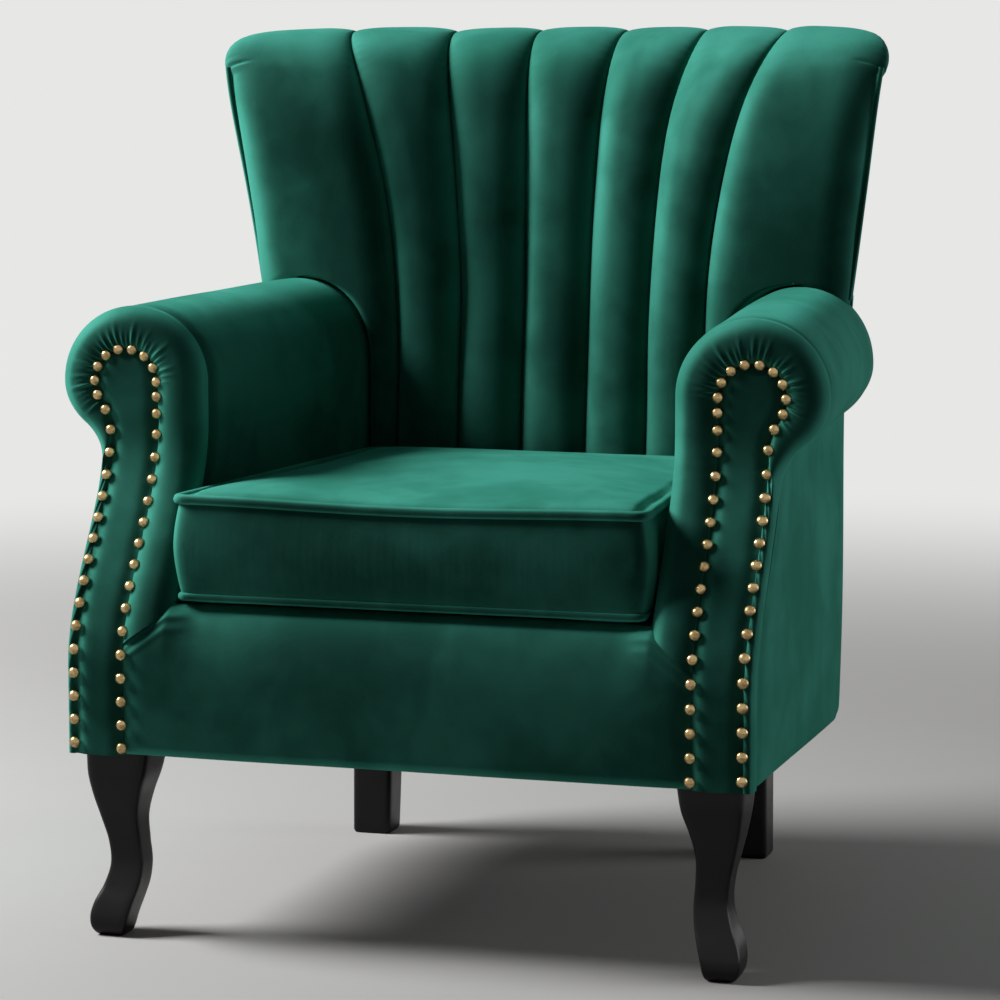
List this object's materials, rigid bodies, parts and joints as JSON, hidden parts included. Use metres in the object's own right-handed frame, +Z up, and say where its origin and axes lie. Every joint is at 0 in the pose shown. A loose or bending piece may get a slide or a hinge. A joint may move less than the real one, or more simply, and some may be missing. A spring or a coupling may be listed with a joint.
{
  "type": "wingback armchair",
  "caption": "Upholstered wing chair with rolled arms, a fluted fan back, nailhead-trimmed arm fronts, a loose seat cushion and cabriole front legs.",
  "frame": {"origin": "on the floor, in the middle of the chair's bounding box seen from above", "axes": "+Z up, -Y towards the front of the seat, +X to the right of someone who faces the chair"},
  "size_m": [0.7758, 0.6854, 0.9008],
  "materials": {
    "green_velvet": "short-pile emerald velvet with a strong sheen",
    "black_lacquer": "wood with satin black lacquer",
    "beech_frame": "planed, unfinished",
    "antique_brass": "aged brass, domed heads",
    "zinc_steel": "zinc plated",
    "dust_cloth": "thin black non-woven cloth"
  },
  "bodies": {
    "chair_frame": {"back_channel_1": "green_velvet", "back_channel_2": "green_velvet", "back_channel_3": "green_velvet", "back_channel_4": "green_velvet", "back_channel_5": "green_velvet", "back_channel_6": "green_velvet", "back_channel_7": "green_velvet", "crest_rail": "beech_frame", "dust_cover": "dust_cloth", "front_border": "green_velvet", "front_seat_rail": "beech_frame", "left_arm_band": "green_velvet", "left_arm_facing": "green_velvet", "left_arm_rail": "beech_frame", "left_arm_roll": "green_velvet", "left_arm_stump": "beech_frame", "left_back_post": "beech_frame", "left_front_corner_block": "beech_frame", "left_front_leg": "black_lacquer", "left_front_leg_bolt": "zinc_steel", "left_inside_arm": "green_velvet", "left_nailhead_trim": "antique_brass", "left_outside_arm": "green_velvet", "left_outside_wing": "green_velvet", "left_rear_corner_block": "beech_frame", "left_rear_leg": "black_lacquer", "left_rear_leg_bolt": "zinc_steel", "left_seat_rail": "beech_frame", "left_wing_bar": "beech_frame", "lower_back_rail": "beech_frame", "outside_back": "green_velvet", "rear_seat_rail": "beech_frame", "right_arm_band": "green_velvet", "right_arm_facing": "green_velvet", "right_arm_rail": "beech_frame", "right_arm_roll": "green_velvet", "right_arm_stump": "beech_frame", "right_back_post": "beech_frame", "right_front_corner_block": "beech_frame", "right_front_leg": "black_lacquer", "right_front_leg_bolt": "zinc_steel", "right_inside_arm": "green_velvet", "right_nailhead_trim": "antique_brass", "right_outside_arm": "green_velvet", "right_outside_wing": "green_velvet", "right_rear_corner_block": "beech_frame", "right_rear_leg": "black_lacquer", "right_rear_leg_bolt": "zinc_steel", "right_seat_rail": "beech_frame", "right_wing_bar": "beech_frame", "seat_deck": "green_velvet", "seat_spring_1": "zinc_steel", "seat_spring_2": "zinc_steel", "seat_spring_3": "zinc_steel", "seat_spring_4": "zinc_steel", "seat_spring_5": "zinc_steel"},
    "loose_cushion": {"seat_cushion": "green_velvet", "lower_cushion_welt": "green_velvet", "upper_cushion_welt": "green_velvet"}
  },
  "joints": [
    {"name": "cushion_lift", "type": "slide", "parent": "chair_frame", "child": "loose_cushion", "axis": [0, 0, 1], "range_m": [0, 0.3]}
  ]
}
